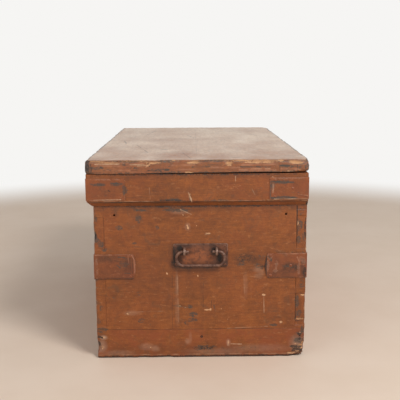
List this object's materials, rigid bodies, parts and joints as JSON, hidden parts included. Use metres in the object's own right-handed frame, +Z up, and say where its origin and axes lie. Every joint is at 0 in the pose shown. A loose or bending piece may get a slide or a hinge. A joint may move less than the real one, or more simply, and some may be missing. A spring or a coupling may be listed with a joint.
{
  "type": "travelling chest",
  "caption": "Painted softwood travelling chest with a hinged flat lid, a bevelled band round the rim, iron bail handles on the ends and iron straps round the corners.",
  "frame": {"origin": "On the floor, at the middle of the closed chest's overall length and depth, handles and hinges included.", "axes": "+X along the chest, +Y from the front with the lock to the back with the hinges, +Z up."},
  "size_m": [0.9012, 0.4998, 0.4525],
  "materials": {
    "painted_softwood": "old brown-red paint, chipped and rubbed through at the edges",
    "bare_softwood": "planed and left bare",
    "painted_iron": "painted over with the boards, chipped",
    "worn_iron": "dark iron, rubbed and a little rusty"
  },
  "bodies": {
    "carcass": {"back_lower_board": "painted_softwood", "back_upper_board": "painted_softwood", "band_brads": "worn_iron", "band_front": "painted_softwood", "band_left_end": "painted_softwood", "band_plate_back_left": "painted_iron", "band_plate_back_right": "painted_iron", "band_plate_front_left": "painted_iron", "band_plate_front_right": "painted_iron", "band_plate_tacks": "painted_iron", "band_right_end": "painted_softwood", "bottom_back_board": "bare_softwood", "bottom_brads": "worn_iron", "bottom_front_board": "bare_softwood", "bottom_left_batten": "bare_softwood", "bottom_middle_batten": "bare_softwood", "bottom_middle_board": "bare_softwood", "bottom_right_batten": "bare_softwood", "corner_strap_back_left": "painted_iron", "corner_strap_back_right": "painted_iron", "corner_strap_front_left": "painted_iron", "corner_strap_front_right": "painted_iron", "corner_strap_nails": "painted_iron", "front_lower_board": "painted_softwood", "front_upper_board": "painted_softwood", "handle_left_eyes": "worn_iron", "handle_left_plate": "worn_iron", "handle_right_eyes": "worn_iron", "handle_right_plate": "worn_iron", "handle_tacks": "worn_iron", "hinge_body_screws": "worn_iron", "hinge_left_body_leaf": "worn_iron", "hinge_left_pin": "worn_iron", "hinge_right_body_leaf": "worn_iron", "hinge_right_pin": "worn_iron", "keyhole_plate": "worn_iron", "keyhole_tacks": "worn_iron", "left_end_lower_board": "painted_softwood", "left_end_upper_board": "painted_softwood", "lock_case": "worn_iron", "lock_cover": "worn_iron", "lock_screws": "worn_iron", "right_end_lower_board": "painted_softwood", "right_end_upper_board": "painted_softwood"},
    "lid": {"hinge_left_lid_leaf": "worn_iron", "hinge_lid_screws": "worn_iron", "hinge_right_lid_leaf": "worn_iron", "keeper_screws": "worn_iron", "lid_back_board": "painted_softwood", "lid_front_board": "painted_softwood", "lid_left_cleat": "painted_softwood", "lid_right_cleat": "painted_softwood", "lock_keeper": "worn_iron"},
    "right_bail": {"handle_right_bail": "worn_iron"},
    "left_bail": {"handle_left_bail": "worn_iron"},
    "lock_bolt": {"lock_bolt": "worn_iron"}
  },
  "joints": [
    {"name": "lid_hinge", "type": "hinge", "parent": "carcass", "child": "lid", "pos_m": [0, 0.23712, 0.4227], "axis": [-1, 0, 0], "range_deg": [0, 105]},
    {"name": "right_handle_swing", "type": "hinge", "parent": "carcass", "child": "right_bail", "pos_m": [0.4421, -0.00178, 0.2495], "axis": [0, -1, 0], "range_deg": [-10, 190]},
    {"name": "left_handle_swing", "type": "hinge", "parent": "carcass", "child": "left_bail", "pos_m": [-0.4421, -0.00178, 0.2495], "axis": [0, 1, 0], "range_deg": [-10, 190]},
    {"name": "lock_bolt_slide", "type": "slide", "parent": "carcass", "child": "lock_bolt", "axis": [1, 0, 0], "range_m": [0, 0.012]}
  ]
}
